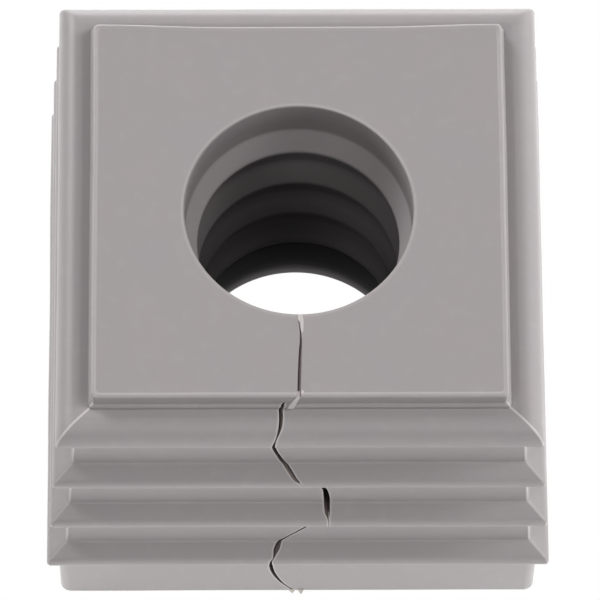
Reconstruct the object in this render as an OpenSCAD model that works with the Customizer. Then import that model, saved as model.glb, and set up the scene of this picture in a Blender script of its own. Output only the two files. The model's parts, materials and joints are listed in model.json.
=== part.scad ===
// Split cable grommet: a square elastomer block that a cable passes through.
// The four flanks carry sealing ribs that press into a square frame cell.
// A wavy slit lets the block open round a cable that already has its plug on.
// Frame: +Z along the bore, Z = 0 on the foot, the slit faces -Y.

/* [Body] */
// Height from the foot to the top face
body_h = 17.5; // [16:0.1:24]
// Width across the rib roots, level with the top face
root_w = 19.1; // [18.8:0.1:21]
// Lean of the four flanks, which spread towards the foot
flank_draft = 3.2; // [1:0.1:5]

/* [Top land] */
// Width of the raised square face on top
land_w = 17.7; // [15:0.1:18.2]
// Height of that face above the shelf of the first rib
land_h = 0.83; // [0.5:0.01:1]
// How far the land's wall spreads between its top edge and its foot
land_spread = 0.16; // [0.05:0.01:0.4]
// Plan radius of the land's corners
land_corner_r = 0.3; // [0.3:0.05:1.5]
// Rounding of the land's top edge
land_edge_r = 0.24; // [0.1:0.01:0.3]

/* [Sealing ribs] */
// Number of ribs on each flank
rib_count = 4; // [2:1:4]
// Depth of the first rib's lower edge below the top face
rib_first = 1.8; // [1.7:0.05:2.2]
// Spacing of the ribs
rib_pitch = 3.85; // [2.5:0.05:4.2]
// How far a rib stands out from its root
rib_reach = 0.8; // [0.5:0.05:1.2]
// Height of the blunt tip
rib_tip = 0.4; // [0.2:0.05:0.8]
// Fall of a rib's upper face
rib_slope = 27; // [15:1:40]
// Fillet between a rib's upper face and the flank above it
rib_fillet_r = 0.15; // [0.1:0.05:0.8]
// Rounding between a rib's upper face and its tip
rib_nose_r = 0.4; // [0.1:0.05:0.6]
// Fall of the first rib's shelf
shelf_slope = 2; // [0:1:15]
// Radius that rolls the first rib's shelf over into its tip
shoulder_r = 0.85; // [0.3:0.05:1]

/* [Foot collar] */
// Width of the plain collar below the last rib
collar_w = 21.15; // [19:0.05:21.6]
// Plan radius of the collar's corners
collar_corner_r = 0.45; // [0.2:0.05:2]

/* [Cable bore] */
// Diameter of the bore between its lips
bore_d = 10; // [9.2:0.1:13]
// Diameter inside the sealing lips
lip_d = 8.8; // [6:0.1:9.6]
// Number of lips in the bore
lip_count = 4; // [1:1:4]
// Depth of the first lip's upper edge below the top face
lip_first = 3.4; // [2:0.1:4.5]
// Spacing of the lips
lip_pitch = 3.05; // [2.4:0.05:3.6]
// Height of the cone that leads down to each lip
lip_cone = 1.15; // [0.5:0.05:1.4]
// Height of the lip's own land
lip_land = 0.2; // [0.1:0.05:0.4]
// Height of the relief under each lip
lip_relief = 0.5; // [0.2:0.05:0.6]
// Edge break round both mouths of the bore
mouth_break = 0.12; // [0.05:0.01:0.3]

/* [Slit] */
// Number of arcs in the wave
slit_arcs = 3; // [2:1:5]
// Depth at which the first arc comes back to the middle
slit_first = 5.3; // [4:0.1:7]
// Sideways bulge of each arc
slit_bulge = 1.2; // [0.5:0.05:1.5]
// Opening of the slit where it crosses the middle
slit_gap = 0.1; // [0.06:0.01:0.3]
// Extra opening at the crest of each arc
slit_swell = 0.12; // [0.02:0.01:0.3]

/* [Hidden] */
$fn = 96;
rubber = [0.63, 0.61, 0.61];
draft = tan(flank_draft);
slope = tan(rib_slope);
land_foot = land_w / 2 + land_spread;
rib_last = rib_first + (rib_count - 1) * rib_pitch;
span = 2 * (tip_x(rib_last) + 1);
// Margin by which cutting and joining shapes pass each other
pass = 0.1;
// Depth to which an arc bites into the faces or arcs that it joins
bite = 0.002;

// Half-width of the flank at a depth below the top face, in a groove and on a rib's tip
function root_x(depth) = root_w / 2 + draft * depth;
function tip_x(depth) = root_x(depth) + rib_reach;

// Depth of a rib's lower edge
function rib_depth(i) = rib_first + i * rib_pitch;

// Point on a rib's blunt tip, at a height above its lower edge
function tip_point(i, up) = [tip_x(rib_depth(i) - up), up - rib_depth(i)];

// Inner corner where a rib's upper face meets the flank above it
function root_corner(i) =
    let (run = rib_reach / (1 - draft * slope))
    tip_point(i, rib_tip) + run * [-1, slope];

// Outer corner where the first rib's shelf would meet its tip
function shoulder_corner() =
    let (fall = tan(shelf_slope))
    let (x = (tip_x(land_h) - draft * fall * land_foot) / (1 - draft * fall))
    [x, -land_h - fall * (x - land_foot)];

// Right side of the ribbed section, from the land's foot to the last rib's lower edge
function flank_points() = concat(
    [[land_foot, -land_h], shoulder_corner()],
    [for (i = [0 : rib_count - 1]) each concat(
        i > 0 ? [root_corner(i), tip_point(i, rib_tip)] : [],
        [tip_point(i, 0)],
        i < rib_count - 1 ? [[root_x(rib_depth(i)), -rib_depth(i)]] : []
    )]
);

// Sliver between a corner and the arc that rounds it; the faces leave at angles a1 and a2
module corner_web(corner, a1, a2, r) {
    half = (a2 - a1) / 2;
    inward = [cos(a1 + half), sin(a1 + half)];
    centre = corner + inward * r / sin(half);
    reach = r + pass;
    difference() {
        polygon([
            corner - inward * pass,
            centre + reach * [sin(a1), -cos(a1)],
            centre,
            centre + reach * [-sin(a2), cos(a2)]
        ]);
        translate(centre)
            circle(r + bite);
    }
}

// Half of the ribbed section, with its rounded corners
module flank_half() {
    difference() {
        union() {
            polygon(concat([[-pass, -land_h]], flank_points(), [[-pass, -rib_last]]));
            for (i = [1 : rib_count - 1])
                corner_web(root_corner(i), -rib_slope, 90 + flank_draft, rib_fillet_r);
        }
        corner_web(shoulder_corner(), 180 - shelf_slope, 270 + flank_draft, shoulder_r);
        for (i = [1 : rib_count - 1])
            corner_web(tip_point(i, rib_tip), 180 - rib_slope, 270 + flank_draft, min(rib_nose_r, rib_tip));
    }
}

// Ribbed section run straight across the block, measured down from the top face
module flank_run() {
    translate([0, 0, body_h])
        rotate([90, 0, 0])
            linear_extrude(span, center = true)
                union() {
                    flank_half();
                    mirror([1, 0]) flank_half();
                }
}

// Ribs on all four flanks, mitred at the corners
module ribbed_block() {
    intersection() {
        flank_run();
        rotate([0, 0, 90]) flank_run();
    }
}

// Square with round corners
module round_square(width, corner_r) {
    straight = width - 2 * corner_r;
    square([width, straight], center = true);
    square([straight, width], center = true);
    for (x = [-1, 1], y = [-1, 1])
        translate([x, y] * straight / 2)
            circle(corner_r);
}

// Half of the land's section, measured down from the top face and run a little into the shelf
module land_half() {
    sink = land_h + pass;
    lean = atan(land_spread / land_h);
    difference() {
        polygon([
            [-pass, 0],
            [land_w / 2, 0],
            [land_w / 2 + sink * tan(lean), -sink],
            [-pass, -sink]
        ]);
        corner_web([land_w / 2, 0], 180, 270 + lean, land_edge_r);
    }
}

// One corner of the land, the end of its section turned about the corner's own axis
module land_corner(corner_at) {
    rotate_extrude()
        intersection() {
            translate([-corner_at, 0]) land_half();
            translate([0, -body_h]) square([land_w, body_h]);
        }
}

// Raised land on top, with leaning walls, round corners and a round edge
module top_land() {
    corner_at = land_w / 2 - land_corner_r;
    translate([0, 0, body_h]) {
        for (turn = [0, 90])
            rotate([90, 0, turn])
                linear_extrude(2 * corner_at, center = true)
                    union() {
                        land_half();
                        mirror([1, 0]) land_half();
                    }
        for (x = [-1, 1], y = [-1, 1])
            translate([x, y, 0] * corner_at)
                land_corner(corner_at);
    }
}

// Plain collar between the last rib and the foot
module foot_collar() {
    linear_extrude(body_h - rib_last + rib_tip / 2)
        round_square(collar_w, collar_corner_r);
}

// Half-section of one lip's hollow side, from its cone down to its relief
function lip_points(i) =
    let (edge = body_h - lip_first - i * lip_pitch)
    [
        [bore_d / 2, edge + lip_cone],
        [lip_d / 2, edge],
        [lip_d / 2, edge - lip_land],
        [bore_d / 2, edge - lip_land - lip_relief]
    ];

// Space of the bore, pinched at each lip and opened at both mouths
module bore_space() {
    mouth_r = bore_d / 2 + mouth_break;
    rotate_extrude()
        polygon(concat(
            [[0, body_h + pass], [mouth_r + pass, body_h + pass]],
            [[bore_d / 2, body_h - mouth_break]],
            [for (i = [0 : lip_count - 1]) each lip_points(i)],
            [[bore_d / 2, mouth_break]],
            [[mouth_r + pass, -pass], [0, -pass]]
        ));
}

// Height at which the wave crosses the middle, above its arc i
function wave_z(i) =
    let (later_arc_h = (body_h - slit_first) / (slit_arcs - 1))
    i == 0 ? body_h : body_h - slit_first - (i - 1) * later_arc_h;

// Disc whose rim makes arc i of the wave, bulging to the right
module wave_disc(i, bulge) {
    half_h = (wave_z(i) - wave_z(i + 1)) / 2;
    r = (half_h * half_h + bulge * bulge) / (2 * bulge);
    translate([bulge - r, wave_z(i) - half_h])
        circle(r + bite);
}

// Area to the left of the wave, which bulges left first, seen from the front
module left_of_wave(shift, bulge_left, bulge_right) {
    width = span / 2;
    translate([shift, 0])
        difference() {
            union() {
                translate([-width, -pass])
                    square([width, body_h + 2 * pass]);
                for (i = [1 : 2 : slit_arcs - 1])
                    wave_disc(i, bulge_right);
            }
            for (i = [0 : 2 : slit_arcs - 1])
                mirror([1, 0]) wave_disc(i, bulge_left);
        }
}

// Wavy cut from the bore out through the front flank
module slit_space() {
    swell = slit_swell / 2;
    rotate([90, 0, 0])
        linear_extrude(span / 2)
            difference() {
                left_of_wave(slit_gap / 2, slit_bulge - swell, slit_bulge + swell);
                left_of_wave(-slit_gap / 2, slit_bulge + swell, slit_bulge - swell);
            }
}

// The whole grommet, moulded in one piece and then slit
module grommet() {
    color(rubber)
        difference() {
            union() {
                top_land();
                ribbed_block();
                foot_collar();
            }
            bore_space();
            slit_space();
        }
}

grommet();
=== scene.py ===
"""Looks of a split cable grommet: one moulded rubber block on a white studio table."""

import json
import logging
import math
from contextlib import contextmanager
from dataclasses import dataclass, field
from enum import Enum
from typing import Callable, Iterator

import bmesh
import bpy
from mathutils import Matrix, Vector


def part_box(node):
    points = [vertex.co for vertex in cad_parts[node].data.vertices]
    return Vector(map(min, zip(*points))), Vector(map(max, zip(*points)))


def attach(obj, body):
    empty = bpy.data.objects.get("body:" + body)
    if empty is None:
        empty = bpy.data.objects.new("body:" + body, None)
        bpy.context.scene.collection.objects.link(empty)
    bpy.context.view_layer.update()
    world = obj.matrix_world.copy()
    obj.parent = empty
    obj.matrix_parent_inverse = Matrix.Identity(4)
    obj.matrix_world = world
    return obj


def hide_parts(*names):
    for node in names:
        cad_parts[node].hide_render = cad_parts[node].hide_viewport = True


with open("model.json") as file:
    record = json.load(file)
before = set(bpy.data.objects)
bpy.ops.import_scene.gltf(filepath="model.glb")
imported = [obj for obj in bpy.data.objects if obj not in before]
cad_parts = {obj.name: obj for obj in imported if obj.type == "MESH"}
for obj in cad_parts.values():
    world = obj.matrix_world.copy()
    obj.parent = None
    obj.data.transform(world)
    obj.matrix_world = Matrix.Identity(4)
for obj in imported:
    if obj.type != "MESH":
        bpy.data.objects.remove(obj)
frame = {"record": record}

LOG = logging.getLogger("grommet")
MM = 0.001
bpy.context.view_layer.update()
WHITE = (1.0, 1.0, 1.0, 1.0)

# Upward part of a face's normal: more than LEVEL lies flat, less than STEEP stands upright
# and less than HANGING is an underside
LEVEL = 0.999
STEEP = 0.3
HANGING = -0.5

Point = tuple[float, float]
Place = tuple[float, float, float]
Colour = tuple[float, float, float]
Element = bmesh.types.BMVert | bmesh.types.BMEdge | bmesh.types.BMFace
Socket = bpy.types.NodeSocket
Input = Socket | float | tuple[float, ...]


class Joining(Enum):
    """How one shape is worked into another."""

    ADD = "UNION"
    CUT = "DIFFERENCE"


class Across(Enum):
    """Direction in which a moulded wall wanders from the straight, with the noise that drives it."""

    LEFT_RIGHT = ("X", "BLENDER_ORIGINAL")
    FRONT_BACK = ("Y", "IMPROVED_PERLIN")


class Part(Enum):
    """Parts of a mesh to select: the name of the select mode, and of such parts in a mesh."""

    POINT = ("VERT", "verts")
    EDGE = ("EDGE", "edges")
    FACE = ("FACE", "faces")


@dataclass(frozen=True)
class Rounding:
    """How a corner is rounded.

    Attributes:
        radius: Radius in millimetres, 0 for a sharp corner.
        steps: Number of straight steps on the arc.
    """

    radius: float = 0.0
    steps: int = 3


@dataclass(frozen=True)
class Corner:
    """A corner of an outline, in millimetres.

    Attributes:
        half: Distance from the middle.
        z: Height above the foot.
        rounding: How it is rounded.
    """

    half: float
    z: float
    rounding: Rounding = Rounding()

    def rounded(self, before: "Corner", after: "Corner") -> list[Point]:
        """Give the points that stand for this corner on the outline.

        Args:
            before: The corner ahead of this one.
            after: The corner behind this one.

        Returns:
            One point for a sharp corner, or the points of the arc.
        """
        here = Vector((self.half, self.z))
        radius, steps = self.rounding.radius, self.rounding.steps
        if radius == 0.0:
            return [tuple(here)]
        way_back = (Vector((before.half, before.z)) - here).normalized()
        way_on = (Vector((after.half, after.z)) - here).normalized()
        half_angle = way_back.angle(way_on) / 2
        middle = here + (way_back + way_on).normalized() * radius / math.sin(half_angle)
        reach = radius / math.tan(half_angle)
        start = here + way_back * reach - middle
        end = here + way_on * reach - middle
        turn = start.angle_signed(end)
        return [
            tuple(middle + Matrix.Rotation(-turn * step / steps, 2) @ start)
            for step in range(steps + 1)
        ]


def outline(corners: list[Corner]) -> list[Point]:
    """Round the corners of an open outline.

    Args:
        corners: The corners in order, of which the two ends stay sharp.

    Returns:
        The outline's points as half-width and height, in millimetres.
    """
    points = [(corners[0].half, corners[0].z)]
    for before, corner, after in zip(corners, corners[1:], corners[2:]):
        points += corner.rounded(before, after)
    return points + [(corners[-1].half, corners[-1].z)]


def smooth_through(knots: list[Point], at: float) -> float:
    """Read a smooth line that runs through a row of points.

    Args:
        knots: Points as place and value, in order of place.
        at: Place to read; past either end the line stays level.

    Returns:
        The value there.
    """
    if at <= knots[0][0]:
        return knots[0][1]
    padded = [knots[0], *knots, knots[-1]]
    for before, start, end, after in zip(padded, padded[1:], padded[2:], padded[3:]):
        if at <= end[0]:
            span = end[0] - start[0]
            share = (at - start[0]) / span
            lean_in = (end[1] - before[1]) / (end[0] - before[0]) * span
            lean_out = (after[1] - start[1]) / (after[0] - start[0]) * span
            return (
                start[1] * (1 + 2 * share) * (1 - share) ** 2
                + lean_in * share * (1 - share) ** 2
                + end[1] * share**2 * (3 - 2 * share)
                + lean_out * share**2 * (share - 1)
            )
    return knots[-1][1]


def heading(round_deg: float, above_deg: float) -> Vector:
    """Give the direction from the part to a place round it.

    Args:
        round_deg: Degrees round from the front, to the right.
        above_deg: Degrees above the table.

    Returns:
        The direction, of length 1.
    """
    turn, above = math.radians(round_deg), math.radians(above_deg)
    return Vector((
        math.sin(turn) * math.cos(above), -math.cos(turn) * math.cos(above), math.sin(above)
    ))


class Bench:
    """Operator work that all shapes share. Everything on the bench is in millimetres."""

    @staticmethod
    def pick(piece: bpy.types.Object) -> None:
        """Make one object the only one that is selected."""
        bpy.ops.object.select_all(action="DESELECT")
        piece.select_set(True)
        bpy.context.view_layer.objects.active = piece

    @staticmethod
    def latest(name: str) -> bpy.types.Object:
        """Name the primitive that was just added and set its place into its mesh.

        Args:
            name: Name for the object and its mesh.

        Returns:
            The object.
        """
        piece = bpy.context.active_object
        Bench.pick(piece)
        bpy.ops.object.transform_apply(location=True, rotation=True, scale=True)
        piece.name = piece.data.name = name
        return piece

    @staticmethod
    @contextmanager
    def editing(piece: bpy.types.Object, part: Part = Part.EDGE) -> Iterator[None]:
        """Hold one object in edit mode with all of it selected.

        Args:
            piece: The object to edit.
            part: What is selected.
        """
        mode, _ = part.value
        Bench.pick(piece)
        bpy.ops.object.mode_set(mode="EDIT")
        bpy.ops.mesh.select_mode(type=mode)
        bpy.ops.mesh.select_all(action="SELECT")
        yield
        bpy.ops.object.mode_set(mode="OBJECT")

    @staticmethod
    def select(piece: bpy.types.Object, part: Part, wanted: Callable[[Element], bool]) -> None:
        """Select some parts of an object in edit mode.

        Args:
            piece: The object in edit mode.
            part: What is selected.
            wanted: Says whether a part is one of them.
        """
        _, kind = part.value
        work = bmesh.from_edit_mesh(piece.data)
        for element in getattr(work, kind):
            element.select_set(wanted(element))
        work.select_flush_mode()
        bmesh.update_edit_mesh(piece.data)

    @staticmethod
    def extrude_rings(rings: list[Point]) -> None:
        """Extrude the selected ring of edges from the first ring's size and height to each next one.

        Args:
            rings: Half-width and height of each ring, the first being the selected one.
        """
        for (half, z), (next_half, next_z) in zip(rings, rings[1:]):
            grow = next_half / half
            bpy.ops.mesh.extrude_edges_move(TRANSFORM_OT_translate={"value": (0, 0, next_z - z)})
            bpy.ops.transform.resize(value=(grow, grow, 1), center_override=(0, 0, next_z))

    @staticmethod
    def paint(piece: bpy.types.Object, slot: int, wanted: Callable[[bmesh.types.BMFace], bool]) -> None:
        """Give some faces another of the object's materials.

        Args:
            piece: The object.
            slot: Number of the material's slot.
            wanted: Says whether a face is one of them.
        """
        with Bench.editing(piece, Part.FACE):
            Bench.select(piece, Part.FACE, wanted)
            piece.active_material_index = slot
            bpy.ops.object.material_slot_assign()

    @staticmethod
    def close() -> None:
        """Close the open ends of the mesh in edit mode and turn its faces outwards."""
        bpy.ops.mesh.select_all(action="SELECT")
        bpy.ops.mesh.fill_holes(sides=0)
        bpy.ops.mesh.select_all(action="SELECT")
        bpy.ops.mesh.normals_make_consistent(inside=False)

    @staticmethod
    def apply(piece: bpy.types.Object, modifier: bpy.types.Modifier) -> None:
        """Apply one modifier of an object."""
        Bench.pick(piece)
        bpy.ops.object.modifier_apply(modifier=modifier.name)

    @staticmethod
    def work_in(stock: bpy.types.Object, tool: bpy.types.Object, joining: Joining) -> None:
        """Add a shape to another or cut it out of it, and clear the shape away.

        Args:
            stock: The object that is changed.
            tool: The shape that is added or cut out.
            joining: Which of the two is done.
        """
        boolean = stock.modifiers.new(joining.name, "BOOLEAN")
        boolean.operation = joining.value
        boolean.solver = "EXACT"
        boolean.material_mode = "TRANSFER"
        boolean.object = tool
        Bench.apply(stock, boolean)
        bpy.data.objects.remove(tool, do_unlink=True)


@dataclass
class SquareStock:
    """A square ring with round plan corners that is extruded along an outline.

    Attributes:
        name: Name of the shape.
        plan: Rounding of its corners in plan.
        corners: Outline from top to foot.
        side_cuts: Number of points along each side, so that it can wander.
    """

    name: str
    plan: Rounding
    corners: list[Corner]
    side_cuts: int = 24

    def build(self) -> bpy.types.Object:
        """Add the first ring as a plane, round it, and extrude it along the outline.

        Returns:
            The closed shape.
        """
        rings = outline(self.corners)
        half, z = rings[0]
        bpy.ops.mesh.primitive_plane_add(size=2 * half, location=(0, 0, z))
        piece = Bench.latest(self.name)
        with Bench.editing(piece):
            bpy.ops.mesh.bevel(offset=self.plan.radius, segments=self.plan.steps, affect="VERTICES")
            bpy.ops.mesh.select_all(action="SELECT")
            bpy.ops.mesh.delete(type="ONLY_FACE")
            Bench.select(piece, Part.EDGE, lambda edge: edge.calc_length() > half)
            bpy.ops.mesh.subdivide(number_cuts=self.side_cuts)
            bpy.ops.mesh.select_all(action="SELECT")
            Bench.extrude_rings(rings)
            Bench.close()
        return piece


@dataclass
class RibbedFlanks:
    """The tapered block with its sealing ribs, mitred at the corners.

    Attributes:
        top: Height of the top face.
        widest: Half-width over the last rib.
        draft_deg: Lean of the flanks.
        count: Number of ribs.
        first: Depth of the first rib's lower edge below the top face.
        pitch: Spacing of the ribs.
        reach: How far a rib stands out from its root.
        tip: Height of a rib's blunt tip.
        slope_deg: Fall of a rib's upper face.
        shelf_deg: Fall of the first rib's shelf.
        shelf_depth: Depth of the shelf at its crest.
        shelf_half: Half-width of the land's foot.
        shelf_crest: Distance of the shelf's crest from the land's foot.
        shelf_dip: How far the shelf dips from its crest to the land's foot.
        shoulder_back: How far the first rib's tip stands back from the line of the others.
        crest: Rounding of the shelf's crest.
        shoulder: Rounding that rolls the shelf over into the tip.
        root: Fillet above a rib's upper face.
        nose: Rounding of a tip's upper edge.
        tip_edge: Rounding of a tip's lower edge.
        under: Fillet under a rib.
        mitre: Rounding of the mitred corners.
    """

    top: float
    widest: float
    draft_deg: float = 3.2
    count: int = 4
    first: float = 1.8
    pitch: float = 3.85
    reach: float = 0.8
    tip: float = 0.4
    slope_deg: float = 27.0
    shelf_deg: float = 4.0
    shelf_depth: float = 0.82
    shelf_half: float = 9.03
    shelf_crest: float = 0.35
    shelf_dip: float = 0.022
    shoulder_back: float = 0.07
    crest: Rounding = Rounding(0.8, 4)
    shoulder: Rounding = Rounding(0.9, 12)
    root: Rounding = Rounding(0.17, 6)
    nose: Rounding = Rounding(0.42, 7)
    tip_edge: Rounding = Rounding(0.09)
    under: Rounding = Rounding(0.12)
    mitre: Rounding = Rounding(0.12, 4)

    @property
    def draft(self) -> float:
        """Lean of the flanks, as run to fall."""
        return math.tan(math.radians(self.draft_deg))

    @property
    def last(self) -> float:
        """Depth of the last rib's lower edge."""
        return self.first + (self.count - 1) * self.pitch

    def root_half(self, depth: float) -> float:
        """Half-width of the flank between its ribs, at a depth below the top face."""
        return self.widest - self.reach - (self.last - depth) * self.draft

    def shelf_corners(self) -> list[Corner]:
        """Give the corners of the first rib's shelf, from under the land to its shoulder.

        Returns:
            The start of the shelf, its crest and the rounded shoulder.
        """
        fall = math.tan(math.radians(self.shelf_deg))
        start = self.shelf_half - self.shelf_crest
        crest = self.shelf_half + self.shelf_crest
        out = self.root_half(self.shelf_depth) + self.reach - self.shoulder_back
        return [
            Corner(start, self.top - self.shelf_depth - 2 * self.shelf_dip),
            Corner(crest, self.top - self.shelf_depth, self.crest),
            Corner(out, self.top - self.shelf_depth - fall * (out - crest), self.shoulder),
        ]

    def rib_corners(self, index: int) -> list[Corner]:
        """Give the corners of one rib after the first, from its inner corner to its tip's upper edge.

        Args:
            index: Number of the rib from the top, where the first is 0.

        Returns:
            The filleted inner corner and the tip's upper edge.
        """
        slope = math.tan(math.radians(self.slope_deg))
        depth = self.first + index * self.pitch - self.tip
        tip_half = self.root_half(depth) + self.reach
        run = self.reach / (1 - self.draft * slope)
        return [
            Corner(tip_half - run, self.top - depth + run * slope, self.root),
            Corner(tip_half, self.top - depth, self.nose),
        ]

    def under_corners(self, index: int) -> list[Corner]:
        """Give the corners of one rib's underside.

        Args:
            index: Number of the rib from the top, where the first is 0.

        Returns:
            The tip's lower edge, and the inner corner under the rib or a point inside the collar.
        """
        depth = self.first + index * self.pitch
        z = self.top - depth
        root = self.root_half(depth)
        tip = Corner(root + self.reach, z, self.tip_edge)
        if index == self.count - 1:
            return [tip, Corner(root - self.reach, z)]
        return [tip, Corner(root, z, self.under)]

    def build(self) -> bpy.types.Object:
        """Extrude the ribbed block.

        Returns:
            The closed block.
        """
        corners = self.shelf_corners() + self.under_corners(0)
        for index in range(1, self.count):
            corners += self.rib_corners(index) + self.under_corners(index)
        return SquareStock("ribs", self.mitre, corners).build()


@dataclass
class TopLand:
    """The raised square face on top, with leaning walls and a fine ledge near their foot.

    Attributes:
        top: Height of the bead along the edge.
        half: Half-width of the top face.
        corner: Rounding of its corners in plan.
        edge: Rounding of its edge.
        edge_fall: Fall from the bead's crest to that edge.
        bead: Width of the bead along the edge.
        bead_foot: Rounding where the bead rises from the face.
        bead_crest: Rounding of the bead's crest.
        crest_in: Distance of that crest from the edge.
        crest_share: Share of the edge's radius below which the bead no longer gets the painted highlight.
        dish: How far the face inside the bead has sunk.
        spread: How far the wall leans out between the edge and the ledge.
        ledge_depth: Depth of the ledge below the top face.
        ledge: Width of the ledge.
        ledge_fall: Fall of the ledge over its width.
        ledge_root: Fillet above the ledge.
        ledge_edge: Rounding of the ledge's own edge.
        foot_lean: Run to fall of the wall below the ledge.
        sink: Depth to which the land runs down into the block.
        shoulder: Depth down to which the corners below it get the brighter painted highlight.
        stretch: Width of the land's upper part as a multiple of its depth from front to back.
        back_draw: How far the two back corners are drawn out.
        back_run: Distance from those corners over which the drawing fades.
    """

    top: float
    half: float = 8.81
    corner: Rounding = Rounding(0.2, 8)
    edge: Rounding = Rounding(0.1, 6)
    edge_fall: float = 0.01
    bead: float = 0.2
    bead_foot: Rounding = Rounding(0.1)
    bead_crest: Rounding = Rounding(0.06)
    crest_in: float = 0.12
    crest_share: float = 0.8
    dish: float = 0.025
    spread: float = 0.06
    ledge_depth: float = 0.6
    ledge: float = 0.12
    ledge_fall: float = 0.1
    ledge_root: Rounding = Rounding(0.05)
    ledge_edge: Rounding = Rounding(0.06)
    foot_lean: float = 0.25
    sink: float = 1.0
    shoulder: float = 1.6
    stretch: float = 1.008
    back_draw: float = 0.13
    back_run: float = 5.0

    @property
    def face(self) -> float:
        """Height of the face inside the bead."""
        return self.top - self.dish

    def on_bead(self, face: bmesh.types.BMFace) -> bool:
        """Tell whether a face of the mesh is on the crest of the bead, which gets a painted highlight."""
        worn_from = self.top - self.crest_share * self.edge.radius
        return face.calc_center_median().z > worn_from and STEEP < face.normal.z < LEVEL

    def widen(self, piece: bpy.types.Object) -> None:
        """Widen the land's upper part sideways, so that its side walls stand upright.

        Args:
            piece: The land.
        """
        upper = self.top - self.ledge_depth / 2
        with Bench.editing(piece, Part.POINT):
            Bench.select(piece, Part.POINT, lambda point: point.co.z > upper)
            bpy.ops.transform.resize(value=(self.stretch, 1, 1), center_override=(0, 0, 0))

    def draw_back(self, piece: bpy.types.Object) -> None:
        """Draw the two back corners out a little, so that the back edge bows in between.

        Args:
            piece: The land.
        """
        corner = self.half - 2 * self.corner.radius
        with Bench.editing(piece, Part.POINT):
            Bench.select(
                piece, Part.POINT, lambda point: abs(point.co.x) > corner and point.co.y > corner
            )
            bpy.ops.transform.translate(
                value=(0, self.back_draw, 0), use_proportional_edit=True,
                proportional_edit_falloff="SMOOTH", proportional_size=self.back_run
            )

    def build(self) -> bpy.types.Object:
        """Extrude the land down into the block.

        Returns:
            The closed shape.
        """
        wall_foot = self.half + self.spread
        ledge_end = self.ledge_depth + self.ledge_fall
        last_half = wall_foot + self.ledge + self.foot_lean * (self.sink - ledge_end)
        corners = [
            Corner(self.half - 2 * self.bead, self.face),
            Corner(self.half - self.bead, self.face, self.bead_foot),
            Corner(self.half - self.crest_in, self.top, self.bead_crest),
            Corner(self.half, self.top - self.edge_fall, self.edge),
            Corner(wall_foot, self.top - self.ledge_depth, self.ledge_root),
            Corner(wall_foot + self.ledge, self.top - ledge_end, self.ledge_edge),
            Corner(last_half, self.top - self.sink),
        ]
        return SquareStock("land", self.corner, corners).build()


@dataclass
class FootCollar:
    """The plain collar between the last rib and the foot.

    Attributes:
        top: Height to which the collar runs up into the block.
        half: Half-width of the collar.
        corner: Rounding of its corners in plan.
        edge: Rounding of its lower edge.
    """

    top: float
    half: float = 10.57
    corner: Rounding = Rounding(0.45, 6)
    edge: Rounding = Rounding(0.04)

    def build(self) -> bpy.types.Object:
        """Extrude the collar down to the foot.

        Returns:
            The closed shape.
        """
        corners = [
            Corner(self.half, self.top),
            Corner(self.half, 0.0, self.edge),
            Corner(self.half - 2 * self.edge.radius, 0.0),
        ]
        return SquareStock("collar", self.corner, corners).build()


@dataclass
class CableBore:
    """The bore, with a cone leading down to each of its sealing lips.

    Attributes:
        top: Height from which the lips are measured.
        face: Height of the face round the upper mouth.
        lip_radius: Radius inside the lips.
        radius: Radius between the lips.
        lips: Number of lips.
        first: Depth of the first lip's upper edge below the top face.
        pitch: Spacing of the lips.
        cone: Height of the cone above each lip.
        land: Height of the lip itself.
        relief: Height of the relief under each lip.
        cone_top: Rounding where a cone starts.
        lip_edge: Rounding of a lip's two edges.
        relief_root: Fillet under a lip's relief.
        mouth: Rounding of the upper mouth.
        foot: Rounding of the lower mouth.
        flare: How far the bore's space widens outside each mouth.
        flare_deg: Rise of that widening.
        shy: Share of a mouth's rounding by which its corner lies inside the face.
        sides: Number of straight steps round the bore.
    """

    top: float
    face: float
    lip_radius: float
    radius: float = 4.93
    lips: int = 4
    first: float = 3.4
    pitch: float = 3.05
    cone: float = 1.15
    land: float = 0.2
    relief: float = 0.5
    cone_top: Rounding = Rounding(0.5, 5)
    lip_edge: Rounding = Rounding(0.07)
    relief_root: Rounding = Rounding(0.2)
    mouth: Rounding = Rounding(0.1, 5)
    foot: Rounding = Rounding(0.5, 5)
    flare: float = 0.6
    flare_deg: float = 15.0
    shy: float = 0.16
    sides: int = 128

    def mouth_corners(self, z: float, rounding: Rounding, outwards: int) -> list[Corner]:
        """Give the two corners of one mouth, whose rounding just reaches the face round it.

        Args:
            z: Height of the face.
            rounding: Rounding of the mouth.
            outwards: 1 for the upper mouth and -1 for the lower one.

        Returns:
            A corner clear of the face, and the rounded one.
        """
        shy = self.shy * rounding.radius
        rise = self.flare * math.tan(math.radians(self.flare_deg))
        return [
            Corner(self.radius + self.flare, z + outwards * (rise - shy)),
            Corner(self.radius, z - outwards * shy, rounding),
        ]

    def lip_corners(self, index: int) -> list[Corner]:
        """Give the corners of one lip, from its cone to its relief.

        Args:
            index: Number of the lip from the top, where the first is 0.

        Returns:
            Four corners, rounded as a mould leaves them.
        """
        edge = self.top - self.first - index * self.pitch
        return [
            Corner(self.radius, edge + self.cone, self.cone_top),
            Corner(self.lip_radius, edge, self.lip_edge),
            Corner(self.lip_radius, edge - self.land, self.lip_edge),
            Corner(self.radius, edge - self.land - self.relief, self.relief_root),
        ]

    def build(self) -> bpy.types.Object:
        """Extrude a circle down through the bore's rings.

        Returns:
            The space of the bore as a closed shape.
        """
        corners = self.mouth_corners(self.face, self.mouth, 1)
        for index in range(self.lips):
            corners += self.lip_corners(index)
        rings = outline(corners + self.mouth_corners(0.0, self.foot, -1)[::-1])
        radius, z = rings[0]
        bpy.ops.mesh.primitive_circle_add(vertices=self.sides, radius=radius, location=(0, 0, z))
        piece = Bench.latest("bore")
        with Bench.editing(piece):
            Bench.extrude_rings(rings)
            Bench.close()
        return piece


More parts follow.
